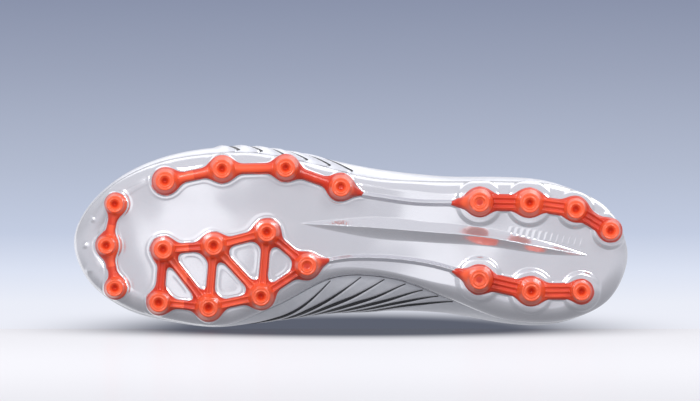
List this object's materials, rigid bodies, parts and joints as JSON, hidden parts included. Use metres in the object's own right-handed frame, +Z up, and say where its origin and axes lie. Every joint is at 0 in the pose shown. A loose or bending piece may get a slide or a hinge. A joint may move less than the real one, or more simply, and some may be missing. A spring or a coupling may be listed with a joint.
{
  "type": "soccer cleat",
  "caption": "Low-cut left soccer cleat with a moulded outsole plate, conical artificial-grass studs, a lace-up upper, a hinged tongue and a lift-out sockliner.",
  "frame": {"origin": "centre of the footprint's bounding box, on the ground under the stud tips", "axes": "+X to the toe, +Y to the outer (lateral) side of this left boot, +Z up"},
  "size_m": [0.2884, 0.0945, 0.1065],
  "materials": {
    "plate": "metallic silver, satin gloss",
    "stud": "gloss orange-red thermoplastic polyurethane",
    "board": "matte fibre board",
    "cushion": "matte closed-cell foam",
    "sockliner": "orange textile over foam",
    "upper": "silver synthetic leather, satin gloss",
    "stiffener": "matte thermoplastic sheet",
    "lining": "black knitted textile",
    "binding": "black tape",
    "stripe": "black print, satin",
    "eyestay": "silver film, satin",
    "eyelet": "silver lacquered",
    "tongue": "black textile over foam",
    "keeper": "silver webbing",
    "lace": "black flat woven lace",
    "aglet": "clear silver tip"
  },
  "bodies": {
    "boot": {"outsole_plate": "plate", "toe_studs": "stud", "lateral_forefoot_studs": "stud", "medial_forefoot_studs": "stud", "lateral_heel_studs": "stud", "medial_heel_studs": "stud", "insole_board": "board", "cushion_insert": "cushion", "vamp": "upper", "lateral_quarter": "upper", "medial_quarter": "upper", "heel_panel": "upper", "toe_puff": "stiffener", "heel_counter": "stiffener", "vamp_lining": "lining", "quarter_lining": "lining", "collar_foam": "cushion", "collar_binding": "binding", "lateral_stripes": "stripe", "medial_stripes": "stripe", "lateral_eyestay": "eyestay", "medial_eyestay": "eyestay", "eyelets": "eyelet", "lace": "lace", "aglet": "aglet"},
    "tongue": {"tongue_face": "tongue", "tongue_foam": "cushion", "tongue_lining": "tongue", "lace_keeper": "keeper"},
    "footbed": {"sockliner": "sockliner"}
  },
  "joints": [
    {"name": "tongue_hinge", "type": "hinge", "parent": "boot", "child": "tongue", "pos_m": [0.056, -0.0035, 0.061], "axis": [0, 1, 0], "range_deg": [-12, 0], "stiffness_Nm_per_rad": 0.12, "springref_deg": 8.59},
    {"name": "sockliner_lift", "type": "hinge", "parent": "boot", "child": "footbed", "pos_m": [0.128, -0.004, 0.029], "axis": [0, 1, 0], "range_deg": [0, 5]}
  ]
}
